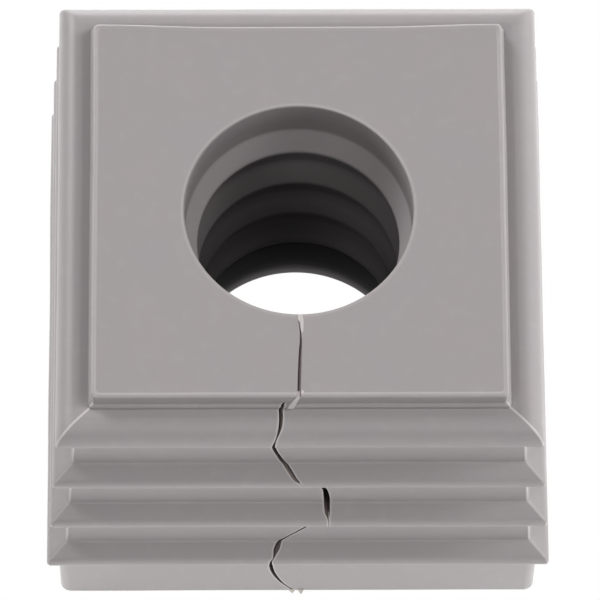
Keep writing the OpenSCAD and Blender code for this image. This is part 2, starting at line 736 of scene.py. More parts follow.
@dataclass(frozen=True)
class SlitStation:
    """Where the slit runs at one depth.

    Attributes:
        depth: Depth below the top face.
        middle: Sideways place, positive to the right.
        opening: Width of the gap.
    """

    depth: float
    middle: float
    opening: float


@dataclass
class WavySlit:
    """The cut from the bore out through the front flank.

    Attributes:
        top: Height of the top face.
        reach: Distance from the middle to which the cut runs.
        step: Height of each straight step of the wave.
        rows: Number of points along the cut, between the middle and its reach.
        same_row: Distance within which points count as one row.
        stations: The course of the wave from the top to the foot.
        bow: Sideways bow of the cut on its way out, as distance from the middle and bow.
        grip: Share of the opening that is left on the way out, as distance from the middle and share.
    """

    top: float
    reach: float
    step: float = 0.1
    rows: int = 40
    same_row: float = 0.001
    stations: list[SlitStation] = field(default_factory=lambda: [
        SlitStation(0.0, -0.03, 0.155),
        SlitStation(0.1, -0.06, 0.10),
        SlitStation(0.2, -0.28, 0.035),
        SlitStation(0.4, -0.57, 0.035),
        SlitStation(0.5, -0.66, 0.06),
        SlitStation(0.8, -0.80, 0.17),
        SlitStation(1.2, -1.01, 0.06),
        SlitStation(1.7, -1.14, 0.13),
        SlitStation(2.7, -1.15, 0.17),
        SlitStation(3.5, -1.08, 0.17),
        SlitStation(4.2, -0.88, 0.17),
        SlitStation(4.8, -0.65, 0.215),
        SlitStation(5.0, -0.40, 0.225),
        SlitStation(5.1, -0.27, 0.215),
        SlitStation(5.2, -0.11, 0.20),
        SlitStation(5.3, 0.02, 0.035),
        SlitStation(6.2, 0.68, 0.156),
        SlitStation(7.4, 1.11, 0.20),
        SlitStation(8.3, 1.22, 0.27),
        SlitStation(8.9, 1.24, 0.225),
        SlitStation(9.0, 1.28, 0.07),
        SlitStation(9.1, 1.31, 0.04),
        SlitStation(9.5, 1.28, 0.06),
        SlitStation(10.2, 1.0, 0.13),
        SlitStation(11.3, 0.19, 0.13),
        SlitStation(12.15, -0.52, 0.11),
        SlitStation(12.5, -0.80, 0.18),
        SlitStation(12.7, -0.95, 0.265),
        SlitStation(12.8, -1.02, 0.13),
        SlitStation(12.9, -1.09, 0.05),
        SlitStation(13.0, -1.18, 0.06),
        SlitStation(13.1, -1.20, 0.10),
        SlitStation(13.7, -1.20, 0.15),
        SlitStation(15.0, -1.15, 0.17),
        SlitStation(16.2, -0.84, 0.14),
        SlitStation(17.03, -0.44, 0.08),
        SlitStation(17.5, -0.12, 0.13),
    ])
    bow: list[Point] = field(default_factory=lambda: [
        (5.3, 0.0), (6.06, 0.085), (6.93, 0.045), (8.7, -0.01), (9.3, 0.0)
    ])
    grip: list[Point] = field(default_factory=lambda: [
        (0.0, 0.2), (5.5, 0.2), (6.2, 0.7), (7.2, 1.0), (12.0, 1.0)
    ])

    def at(self, depth: float) -> Point:
        """Find the middle of the slit and its opening at a depth below the top face.

        Args:
            depth: The depth; past either end the slit runs straight on.

        Returns:
            Sideways place and opening, in millimetres.
        """
        middles = [(station.depth, station.middle) for station in self.stations]
        openings = [(station.depth, station.opening) for station in self.stations]
        return smooth_through(middles, depth), smooth_through(openings, depth)

    def strip(self) -> bpy.types.Object:
        """Add the narrow strip that stands for the slit just above the top face.

        Returns:
            The strip, as a ring of edges.
        """
        bpy.ops.mesh.primitive_plane_add(
            size=self.reach, location=(0, -self.reach / 2, self.top + self.step)
        )
        piece = Bench.latest("slit")
        middle, opening = self.at(0.0)
        with Bench.editing(piece):
            bpy.ops.transform.resize(value=(opening / self.reach, 1, 1), center_override=(0, 0, 0))
            bpy.ops.transform.translate(value=(middle, 0, 0))
            bpy.ops.mesh.delete(type="ONLY_FACE")
            Bench.select(piece, Part.EDGE, lambda edge: edge.calc_length() > self.reach / 2)
            bpy.ops.mesh.subdivide(number_cuts=self.rows)
            for out in self.select_rows(piece):
                share = smooth_through(self.grip, out)
                bpy.ops.transform.resize(value=(share, 1, 1), center_override=(middle, 0, 0))
        return piece

    def select_rows(self, piece: bpy.types.Object) -> Iterator[float]:
        """Select one upright row of points after another.

        Args:
            piece: The slit in edit mode.

        Yields:
            Distance of the row from the middle.
        """
        mode, _ = Part.POINT.value
        bpy.ops.mesh.select_mode(type=mode)
        for row in range(self.rows + 2):
            out = row * self.reach / (self.rows + 1)
            Bench.select(piece, Part.POINT, lambda point: abs(point.co.y + out) < self.same_row)
            yield out

    def bend(self, piece: bpy.types.Object) -> None:
        """Give the slit its bow, one upright row of points after another.

        Args:
            piece: The slit in edit mode.
        """
        for out in self.select_rows(piece):
            bpy.ops.transform.translate(value=(smooth_through(self.bow, out), 0, 0))

    def build(self) -> bpy.types.Object:
        """Extrude the strip down through the block, moved and widened along the wave.

        Returns:
            The space of the slit as a closed shape.
        """
        piece = self.strip()
        depth = -self.step
        middle, opening = self.at(depth)
        with Bench.editing(piece):
            while depth < self.top + self.step:
                depth += self.step
                next_middle, next_opening = self.at(depth)
                bpy.ops.mesh.extrude_edges_move(
                    TRANSFORM_OT_translate={"value": (next_middle - middle, 0, -self.step)}
                )
                bpy.ops.transform.resize(
                    value=(next_opening / opening, 1, 1),
                    center_override=(next_middle, 0, self.top - depth),
                )
                middle, opening = next_middle, next_opening
            self.bend(piece)
            Bench.close()
        return piece


@dataclass
class TornTip:
    """A tiny tip or flake of torn rubber beside the slit.

    Attributes:
        middle: Sideways place.
        width: Width where it starts.
        start: Distance from the middle at which it starts.
        end: Distance from the middle at which it ends.
        lean: How far its end leans to the right.
        low: Height of its underside.
        height: Thickness where it starts.
        end_width: Share of the width that is left at its end.
        end_height: Share of the thickness that is left there.
        forward: Forward part of a face's normal above which it is at the end.
    """

    middle: float
    width: float
    start: float
    end: float
    lean: float
    low: float = 0.0
    height: float = 0.08
    end_width: float = 0.2
    end_height: float = 0.3
    forward: float = 0.9

    def build(self) -> bpy.types.Object:
        """Taper a small block towards its end.

        Returns:
            The closed shape.
        """
        bpy.ops.mesh.primitive_cube_add(
            size=1.0,
            location=(self.middle, -(self.start + self.end) / 2, self.low + self.height / 2),
            scale=(self.width, self.end - self.start, self.height),
        )
        piece = Bench.latest("torn_tip")
        with Bench.editing(piece, Part.FACE):
            bpy.ops.mesh.subdivide(number_cuts=1)
            Bench.select(piece, Part.FACE, lambda face: face.normal.y < -self.forward)
            bpy.ops.transform.resize(
                value=(self.end_width, 1, self.end_height),
                center_override=(self.middle, -self.end, self.low),
            )
            bpy.ops.transform.translate(value=(self.lean, 0, 0))
        return piece


@dataclass
class TornFlap:
    """A flap of torn rubber that leans on the land's front wall.

    Attributes:
        top: Height of the top face.
        face: The four corners of its outer face, in turn, in millimetres from the middle of the top face.
        thickness: How far it runs back into the wall.
    """

    top: float
    face: tuple[Place, ...] = (
        (-0.16, -8.82, -0.06), (-0.55, -9.07, -0.70), (-0.28, -9.07, -0.71), (-0.01, -8.835, -0.09)
    )
    thickness: float = 0.3

    def build(self) -> bpy.types.Object:
        """Set a square's corners on those of the flap and extrude it back into the wall.

        Returns:
            The closed shape.
        """
        bpy.ops.mesh.primitive_plane_add(size=1.0)
        piece = Bench.latest("torn_flap")
        with Bench.editing(piece, Part.FACE):
            work = bmesh.from_edit_mesh(piece.data)
            square = next(iter(work.faces))
            for point, (x, y, z) in zip(square.verts, self.face):
                point.co = Vector((x, y, self.top + z))
            bmesh.update_edit_mesh(piece.data)
            bpy.ops.mesh.extrude_region_move(TRANSFORM_OT_translate={"value": (0, self.thickness, 0)})
            Bench.close()
        return piece


@dataclass
class Wiring:
    """Adds and feeds the nodes of one material, group or world.

    Attributes:
        tree: The node tree.
    """

    tree: bpy.types.NodeTree

    def feed(self, socket: Socket, value: Input) -> None:
        """Feed one input.

        Args:
            socket: The input.
            value: An output to link it to, or a constant.
        """
        if isinstance(value, bpy.types.NodeSocket):
            self.tree.links.new(value, socket)
        else:
            socket.default_value = value

    def add(self, kind: str, inputs: dict[str | int, Input] | None = None, **settings: object
            ) -> bpy.types.Node:
        """Add one node.

        Args:
            kind: Kind of shader node.
            inputs: What its inputs are fed with, by their names or numbers.
            settings: The node's own settings, such as its operation.

        Returns:
            The node.
        """
        node = self.tree.nodes.new(f"ShaderNode{kind}")
        for name, setting in settings.items():
            setattr(node, name, setting)
        for name, value in (inputs or {}).items():
            self.feed(node.inputs[name], value)
        return node

    def sum_of(self, operation: str, first: Input, second: Input = 0.0) -> Socket:
        """Add one sum of one or two terms.

        Args:
            operation: Kind of sum.
            first: First term.
            second: Second term, if the sum has one.

        Returns:
            The result.
        """
        return self.add("Math", {0: first, 1: second}, operation=operation).outputs[0]

    def length(self, vector: Input) -> Socket:
        """Add the length of a vector."""
        return self.add("VectorMath", {0: vector}, operation="LENGTH").outputs["Value"]

    def ranged(self, value: Input, start: float, end: float, low: float = 0.0, high: float = 1.0,
               course: str = "LINEAR") -> Socket:
        """Map a value from one range to another.

        Args:
            value: The value.
            start: Start of its range.
            end: End of its range.
            low: Result at the start.
            high: Result at the end.
            course: How the result runs between the two.

        Returns:
            The result.
        """
        node = self.add("MapRange", {
            "Value": value, "From Min": start, "From Max": end, "To Min": low, "To Max": high
        }, interpolation_type=course)
        return node.outputs["Result"]

    def blend(self, share: Input, first: Input, second: Input, blend_type: str = "MIX") -> Socket:
        """Blend two colours.

        Args:
            share: Share of the second colour.
            first: First colour.
            second: Second colour.
            blend_type: Kind of blend.

        Returns:
            The blended colour.
        """
        node = self.add("Mix", data_type="RGBA", blend_type=blend_type)
        for name, value in (("Factor", share), ("A", first), ("B", second)):
            self.feed(node.inputs[name], value)
        return node.outputs["Result"]

    def mixed(self, share: Input, first: bpy.types.Node, second: bpy.types.Node) -> bpy.types.Node:
        """Mix two shaders.

        Args:
            share: Share of the second shader.
            first: Node of the first shader.
            second: Node of the second shader.

        Returns:
            The node of the mixed shader.
        """
        return self.add("MixShader", {0: share, 1: first.outputs[0], 2: second.outputs[0]})


class RubberSurface:
    """Shader node group with the patches, grain and matte that all the rubber finishes share."""

    NAME = "rubber_surface"

    # Waves in a metre and number of finer layers of each noise
    PATCHES = (420.0, 2.0)
    SMEARS = (1500.0, 3.0)
    SKIN = (2600.0, 1.0)
    GRAIN = (14000.0, 2.0)

    # Part of the noise in which the patches and the smears come and go
    PATCH_RANGE = (0.3, 0.7)
    SMEAR_RANGE = (0.55, 0.75)

    @classmethod
    def build(cls) -> bpy.types.NodeTree:
        """Make the group, or find it if it is made already.

        Returns:
            The group.
        """
        if cls.NAME in bpy.data.node_groups:
            return bpy.data.node_groups[cls.NAME]
        tree = bpy.data.node_groups.new(cls.NAME, "ShaderNodeTree")
        tree.interface.new_socket("Grain Depth", in_out="INPUT", socket_type="NodeSocketFloat")
        for name in ("Patches", "Smears", "Matte"):
            tree.interface.new_socket(name, in_out="OUTPUT", socket_type="NodeSocketFloat")
        tree.interface.new_socket("Normal", in_out="OUTPUT", socket_type="NodeSocketVector")
        given = tree.nodes.new("NodeGroupInput").outputs
        result = tree.nodes.new("NodeGroupOutput").inputs
        wiring = Wiring(tree)
        where = wiring.add("TexCoord").outputs["Object"]
        patches, smears, skin, grain = (
            wiring.add("TexNoise", {"Vector": where, "Scale": scale, "Detail": detail}).outputs["Fac"]
            for scale, detail in (cls.PATCHES, cls.SMEARS, cls.SKIN, cls.GRAIN)
        )
        height = wiring.sum_of("ADD", skin, grain)
        bump = wiring.add("Bump", {"Height": height, "Distance": given["Grain Depth"]})
        wiring.feed(result["Patches"], wiring.ranged(patches, *cls.PATCH_RANGE))
        wiring.feed(result["Smears"], wiring.ranged(smears, *cls.SMEAR_RANGE))
        wiring.feed(result["Matte"], grain)
        wiring.feed(result["Normal"], bump.outputs["Normal"])
        return tree


@dataclass(frozen=True, kw_only=True)
class RubberFinish:
    """Matte moulded rubber: a warm grey that wanders a little, under a fine grain.

    Attributes:
        name: Name of the material.
        tone: Main colour.
        warm: Colour of the warmer patches.
        pale: Colour of the faint smears.
        smooth: Roughness where the surface is smoothest.
        matte: Roughness where it is most matte.
        grain: Depth of the grain in metres.
    """

    name: str
    tone: Colour
    warm: Colour
    pale: Colour
    smooth: float
    matte: float
    grain: float = 0.000003

    def build(self) -> bpy.types.Material:
        """Make the material's nodes, the first time that it is asked for.

        Returns:
            The material.
        """
        if self.name in bpy.data.materials:
            return bpy.data.materials[self.name]
        material = bpy.data.materials.new(self.name)
        material.use_nodes = True
        wiring = Wiring(material.node_tree)
        shader = material.node_tree.nodes["Principled BSDF"].inputs
        group = wiring.add("Group", node_tree=RubberSurface.build())
        wiring.feed(group.inputs["Grain Depth"], self.grain)
        surface = group.outputs
        patched = wiring.blend(surface["Patches"], (*self.tone, 1.0), (*self.warm, 1.0))
        smeared = wiring.blend(surface["Smears"], patched, (*self.pale, 1.0))
        wiring.feed(shader["Base Color"], smeared)
        wiring.feed(
            shader["Roughness"], wiring.ranged(surface["Matte"], 0.0, 1.0, self.smooth, self.matte)
        )
        wiring.feed(shader["Normal"], surface["Normal"])
        return material


@dataclass(frozen=True, kw_only=True)
class SkinFinish(RubberFinish):
    """Rubber of the moulded skin, with a painted highlight along the slit and round the bore.

    Attributes:
        highlight_colour: Colour of the painted highlight along the edges.
        edge: Width of the painted highlight beside an edge, in millimetres.
        share: How far the slit's edges take on that colour.
        ring_share: How far the edge round the bore does.
        from_depth: Depth below the top face from which the slit's edges get the painted highlight, in
            millimetres.
        widest: Largest sideways place or opening of the slit, in millimetres.
        steps: Number of steps in which the slit's course is followed.
    """

    highlight_colour: Colour
    edge: float = 0.11
    share: float = 0.9
    ring_share: float = 0.22
    from_depth: float = 0.15
    widest: float = 2.0
    steps: int = 175

    def rub(self, off_edge: Socket, share: Input) -> None:
        """Paint a highlight into the skin's colour beside an edge.

        Args:
            off_edge: Distance from the edge, in metres.
            share: How far the skin takes on that colour.
        """
        wiring = Wiring(self.build().node_tree)
        base = wiring.tree.nodes["Principled BSDF"].inputs["Base Color"]
        beside = wiring.ranged(off_edge, 0.0, self.edge * MM, 1.0, 0.0, "SMOOTHSTEP")
        colour = base.links[0].from_socket
        wiring.feed(
            base, wiring.blend(wiring.sum_of("MULTIPLY", beside, share), colour, (*self.highlight_colour, 1.0))
        )

    def paint_highlight_round(self, radius: float) -> None:
        """Paint the highlight round the bore's mouth into the material.

        Args:
            radius: Radius at which the skin starts, in millimetres.
        """
        wiring = Wiring(self.build().node_tree)
        where = wiring.add("TexCoord").outputs["Object"]
        level = wiring.add("VectorMath", {0: where, 1: (1.0, 1.0, 0.0)}, operation="MULTIPLY")
        far = wiring.length(level.outputs[0])
        self.rub(wiring.sum_of("SUBTRACT", far, radius * MM), self.ring_share)

    def course(self, wiring: Wiring, depth: Socket, values: list[float]) -> Socket:
        """Add a curve that follows the slit from the top to the foot.

        Args:
            wiring: Wiring of the material.
            depth: Share of the way down.
            values: Values at even steps of the way down, in millimetres.

        Returns:
            The value at that depth, in metres.
        """
        curve = wiring.add("FloatCurve", {"Value": depth})
        points = curve.mapping.curves[0].points
        while len(points) < len(values):
            points.new(0.5, 0.5)
        for number, (point, value) in enumerate(zip(points, values)):
            point.location = (number / (len(values) - 1), 0.5 + 0.5 * value / self.widest)
            point.handle_type = "VECTOR"
        curve.mapping.update()
        return wiring.ranged(curve.outputs["Value"], 0.0, 1.0, -self.widest * MM, self.widest * MM)

    def paint_highlight_along(self, slit: WavySlit) -> None:
        """Paint the highlights along a slit's edges into the material, on the front below the top face.

        Args:
            slit: The slit, which opens to the front.
        """
        wiring = Wiring(self.build().node_tree)
        axes = wiring.add("SeparateXYZ", {0: wiring.add("TexCoord").outputs["Object"]}).outputs
        down = wiring.ranged(axes["Z"], slit.top * MM, 0.0)
        course = [slit.at(slit.top * step / self.steps) for step in range(self.steps + 1)]
        middle = self.course(wiring, down, [place for place, _ in course])
        opening = self.course(wiring, down, [width for _, width in course])
        off_middle = wiring.sum_of("ABSOLUTE", wiring.sum_of("SUBTRACT", axes["X"], middle))
        off_edge = wiring.sum_of("SUBTRACT", off_middle, wiring.sum_of("MULTIPLY", opening, 0.5))
        front = wiring.sum_of("LESS_THAN", axes["Y"], 0.0)
        below = wiring.sum_of("GREATER_THAN", down, self.from_depth / slit.top)
        on_flank = wiring.sum_of("MULTIPLY", front, below)
        self.rub(off_edge, wiring.sum_of("MULTIPLY", on_flank, self.share))


@dataclass(frozen=True, kw_only=True)
class BorePaintedShade(RubberFinish):
    """Rubber inside the bore, duller than the skin, with painted shade under each lip and painted light
    at its foot, round its upper mouth and on the right of the wall above the first lip.

    Attributes:
        shine: Share of the usual reflection.
        top: Height up to which the shades run, in millimetres.
        shades: Painted shade and light: heights in millimetres, each with its share of the rubber's own
            tone.
        side_light: Painted light: how much paler the wall above the first lip is for each millimetre to
            the right.
        side_light_from: Height of that wall's foot, in millimetres.
    """

    shine: float
    top: float
    shades: tuple[Point, ...]
    side_light: float = 0.042
    side_light_from: float = 14.1

    def build(self) -> bpy.types.Material:
        """Make the material's nodes, with the painted shade and light put in before the shader.

        Returns:
            The material.
        """
        material = super().build()
        wiring = Wiring(material.node_tree)
        shader = material.node_tree.nodes["Principled BSDF"].inputs
        wiring.feed(shader["Specular IOR Level"], self.shine)
        colour = shader["Base Color"].links[0].from_socket
        axes = wiring.add("SeparateXYZ", {0: wiring.add("TexCoord").outputs["Object"]}).outputs
        shade = wiring.add("ValToRGB", {"Fac": wiring.ranged(axes["Z"], 0.0, self.top * MM)})
        stops = shade.color_ramp.elements
        while len(stops) < len(self.shades):
            stops.new(0.5)
        for stop, (level, share) in zip(stops, self.shades):
            stop.position = level / self.top
            stop.color = (share, share, share, 1.0)
        # Painted light: the wall above the first lip is paler to the right.
        upper = wiring.sum_of("GREATER_THAN", axes["Z"], self.side_light_from * MM)
        aside = wiring.sum_of("MULTIPLY", axes["X"], self.side_light / MM)
        side_share = wiring.sum_of("ADD", wiring.sum_of("MULTIPLY", aside, upper), 1.0)
        painted_shading = wiring.sum_of("MULTIPLY", side_share, shade.outputs["Color"])
        wiring.feed(shader["Base Color"], wiring.blend(1.0, colour, painted_shading, "MULTIPLY"))
        return material


# Skin, with a painted highlight along the slit and round the bore's mouth.
SKIN = SkinFinish(
    name="moulded_rubber", smooth=0.34, matte=0.50,
    tone=(0.308, 0.287, 0.291), warm=(0.318, 0.291, 0.292), pale=(0.326, 0.304, 0.306),
    highlight_colour=(0.530, 0.497, 0.490),
)
# Painted highlight on the land's bead and along the mitred corners.
RIM = RubberFinish(
    name="worn_rim", smooth=0.30, matte=0.46,
    tone=(0.362, 0.337, 0.341), warm=(0.373, 0.342, 0.343), pale=(0.382, 0.356, 0.358),
)
# Brighter painted highlight on the mitre lines, also given to the flakes and the torn flap.
PALE = RubberFinish(
    name="pale_rubber", smooth=0.36, matte=0.52,
    tone=(0.520, 0.490, 0.485), warm=(0.530, 0.492, 0.484), pale=(0.550, 0.520, 0.510),
)
# Painted shade on the slit's walls, darker than the skin.
CUT = RubberFinish(
    name="cut_rubber", smooth=0.50, matte=0.66, grain=0.000005,
    tone=(0.170, 0.142, 0.136), warm=(0.178, 0.144, 0.136), pale=(0.189, 0.158, 0.151),
)
# Painted highlight on the bevelled edges along the slit.
EDGE = RubberFinish(
    name="torn_edge", smooth=0.40, matte=0.56,
    tone=(0.400, 0.374, 0.370), warm=(0.410, 0.376, 0.370), pale=(0.430, 0.400, 0.394),
)
TORN = RubberFinish(
    name="torn_tip", smooth=0.45, matte=0.60,
    tone=(0.750, 0.700, 0.640), warm=(0.760, 0.700, 0.630), pale=(0.780, 0.730, 0.670),
)
# Painted shade down the bore, with painted light at its foot, round its upper mouth and on the right.
BORE = BorePaintedShade(
    name="bore_rubber", smooth=0.42, matte=0.58,
    tone=(0.290, 0.270, 0.274), warm=(0.299, 0.274, 0.275), pale=(0.307, 0.286, 0.288),
    shine=0.05, top=17.5, shades=(
        (0.7, 1.6), (1.3, 0.28), (1.8, 0.12), (3.6, 0.09), (5.1, 0.85), (5.8, 0.5), (6.4, 0.38),
        (8.0, 0.44), (8.6, 0.44), (9.2, 0.26), (9.8, 0.26), (11.2, 0.43), (11.9, 0.43), (12.3, 0.31),
        (13.8, 0.31), (14.2, 1.0), (15.1, 1.0), (15.4, 0.76), (16.1, 0.76), (17.3, 1.0),
        (17.4, 1.0), (17.45, 1.2),
    ),
)


@dataclass
class Grommet:
    """The whole moulding: land, ribs and collar in one, bored and slit. Its sizes are in millimetres.

    Attributes:
        top: Height of the part.
        half: Half of its width.
        lip_radius: Radius inside the bore's lips.
        wander: How far the soft walls wander from the straight.
        wander_size: Size of the waves in which they do.
        slit_past: How far the space of the slit runs out past the part.
        slit_edge: Width of the bevelled edges along the slit, which get a painted highlight.
        mitre_line: Distance from the diagonal within which a mitred corner is pale.
        flake_sink: How deep the flakes sit in the top face.
        merge_cut: Distance within which points are merged after the slit is cut.
        merge_end: Distance within which points are merged at the end.
        smooth_deg: Angle between faces up to which they are shaded as one.
    """

    top: float
    half: float
    lip_radius: float
    wander: float = 0.016
    wander_size: float = 5.0
    slit_past: float = 1.0
    slit_edge: float = 0.06
    # mitre_line: Distance from the diagonal within which a mitred corner gets a painted highlight.
    mitre_line: float = 0.06
    flake_sink: float = 0.02
    merge_cut: float = 0.002
    merge_end: float = 0.0005
    smooth_deg: float = 40.0

    def wobble(self, piece: bpy.types.Object, across: Across) -> None:
        """Let the walls wander a little, as soft moulded walls do.

        Args:
            piece: The block, in millimetres.
            across: Direction of the wandering.
        """
        direction, basis = across.value
        noise = bpy.data.textures.new("wander", "CLOUDS")
        noise.noise_scale = self.wander_size
        noise.noise_depth = 0
        noise.noise_basis = basis
        displace = piece.modifiers.new("wander", "DISPLACE")
        displace.texture = noise
        displace.texture_coords = "LOCAL"
        displace.direction = direction
        displace.mid_level = 0.5
        displace.strength = 2 * self.wander
        Bench.apply(piece, displace)
        bpy.data.textures.remove(noise)

    @property
    def land(self) -> TopLand:
        """The raised face on top."""
        return TopLand(self.top)

    def on_mitre(self, face: bmesh.types.BMFace) -> bool:
        """Tell whether a face is on the painted highlight line along a mitred corner.

        Args:
            face: Face of the mesh.

        Returns:
            Whether it is; the first rib's shelf has no such line at the back.
        """
        middle = face.calc_center_median()
        off_line = abs(abs(middle.x) - abs(middle.y))
        at_corner = abs(middle.x) > self.land.half / 2 and off_line < self.mitre_line
        back_shelf = middle.y > 0 and self.top - middle.z < self.land.shoulder
        return at_corner and face.normal.z > HANGING and not back_shelf

    def on_pale_mitre(self, face: bmesh.types.BMFace) -> bool:
        """Tell whether a face is on the brighter parts of that painted highlight line: upright, or above
        the first rib.
        """
        depth = self.top - face.calc_center_median().z
        above_rib = self.land.edge.radius < depth < self.land.shoulder
        return self.on_mitre(face) and (face.normal.z < STEEP or above_rib)

    def stock(self) -> bpy.types.Object:
        """Join land, ribs and collar, and let their walls wander.

        Returns:
            The solid block, in millimetres.
        """
        flanks = RibbedFlanks(self.top, self.half - self.wander)
        block = flanks.build()
        land = self.land.build()
        foot = FootCollar(self.top - flanks.last + flanks.tip / 2).build()
        finishes = [finish.build() for finish in (SKIN, RIM, PALE)]
        for shape in (block, land, foot):
            for finish in finishes:
                shape.data.materials.append(finish)
        rim, pale = 1, 2
        # Painted highlights: the bead and the mitre lines take the rim's colour, their brighter parts the
        # pale one.
        Bench.paint(land, rim, self.land.on_bead)
        Bench.paint(block, rim, self.on_mitre)
        for shape in (block, land):
            Bench.paint(shape, pale, self.on_pale_mitre)
        self.land.widen(land)
        self.land.draw_back(land)
        Bench.work_in(block, land, Joining.ADD)
        Bench.work_in(block, foot, Joining.ADD)
        for across in Across:
            self.wobble(block, across)
        return block

    def cut(self, block: bpy.types.Object) -> None:
        """Bore the block and slit it.

        Args:
            block: The solid block, in millimetres.
        """
        bore = CableBore(self.top, self.land.face, self.lip_radius)
        slit = WavySlit(self.top, self.half + self.slit_past)
        # Painted highlights along the slit and round the bore's mouth, in the skin's colour.
        SKIN.paint_highlight_round(bore.radius + bore.mouth.radius)
        SKIN.paint_highlight_along(slit)
        # The bore's walls take painted shade and light, the slit's walls painted shade.
        for shape, finish in ((bore, BORE), (slit, CUT)):
            space = shape.build()
            space.data.materials.append(finish.build())
            Bench.work_in(block, space, Joining.CUT)

    def break_slit_edges(self, block: bpy.types.Object) -> None:
        """Bevel the edges along the slit and give the bevels a painted highlight.

        Args:
            block: The slit block, in millimetres.
        """
        slots = block.data.materials
        slots.append(EDGE.build())
        cut = slots.find(CUT.name)

        def on_slit(edge: bmesh.types.BMEdge) -> bool:
            """Tell whether an edge lies between the cut and another finish."""
            sides = {face.material_index for face in edge.link_faces}
            return len(sides) == 2 and cut in sides

        with Bench.editing(block):
            bpy.ops.mesh.remove_doubles(threshold=self.merge_cut)
            Bench.select(block, Part.EDGE, on_slit)
            bpy.ops.mesh.bevel(
                offset=self.slit_edge, segments=1, clamp_overlap=True, material=slots.find(EDGE.name)
            )

    def add_torn_tips(self, block: bpy.types.Object) -> None:
        """Add the torn tips at both ends of the slit, the flakes on the top face and the flap.

        Args:
            block: The slit block, in millimetres.
        """
        low = self.land.face - self.flake_sink
        tips = [
            TornTip(middle=-0.24, width=0.30, start=10.4, end=10.70, lean=0.02),
            TornTip(middle=0.155, width=0.27, start=10.4, end=10.74, lean=0.015),
        ]
        flakes = [
            TornTip(middle=0.03, width=0.22, start=4.98, end=5.40, lean=0.05, low=low, height=0.04),
            TornTip(middle=0.10, width=0.13, start=5.15, end=5.95, lean=0.02, low=low, height=0.035),
            TornTip(middle=0.10, width=0.11, start=8.52, end=8.80, lean=0.01, low=low, height=0.044),
            TornFlap(self.top),
        ]
        # The flakes and the flap take the pale painted highlight.
        for torn, finish in [(tip, TORN) for tip in tips] + [(flake, PALE) for flake in flakes]:
            shape = torn.build()
            shape.data.materials.append(finish.build())
            Bench.work_in(block, shape, Joining.ADD)

    def model(self) -> bpy.types.Object:
        """Work the block through all its steps.

        Returns:
            The block, in millimetres.
        """
        block = self.stock()
        self.cut(block)
        self.break_slit_edges(block)
        self.add_torn_tips(block)
        return block

    def finish(self, block: bpy.types.Object) -> bpy.types.Object:
        """Clean the mesh, bring it to metres and smooth it.

        Args:
            block: The block, in millimetres.

        Returns:
            The finished piece.
        """
        with Bench.editing(block, Part.POINT):
            bpy.ops.mesh.remove_doubles(threshold=self.merge_end)
            bpy.ops.mesh.normals_make_consistent(inside=False)
        Bench.pick(block)
        block.scale = (MM, MM, MM)
        bpy.ops.object.transform_apply(location=True, rotation=True, scale=True)
        bpy.ops.object.shade_smooth_by_angle(angle=math.radians(self.smooth_deg))
        weighted = block.modifiers.new("even_shading", "WEIGHTED_NORMAL")
        weighted.keep_sharp = True
        Bench.apply(block, weighted)
        block.name = block.data.name = "grommet_body"
        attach(block, "root")
        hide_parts("grommet")
        return block


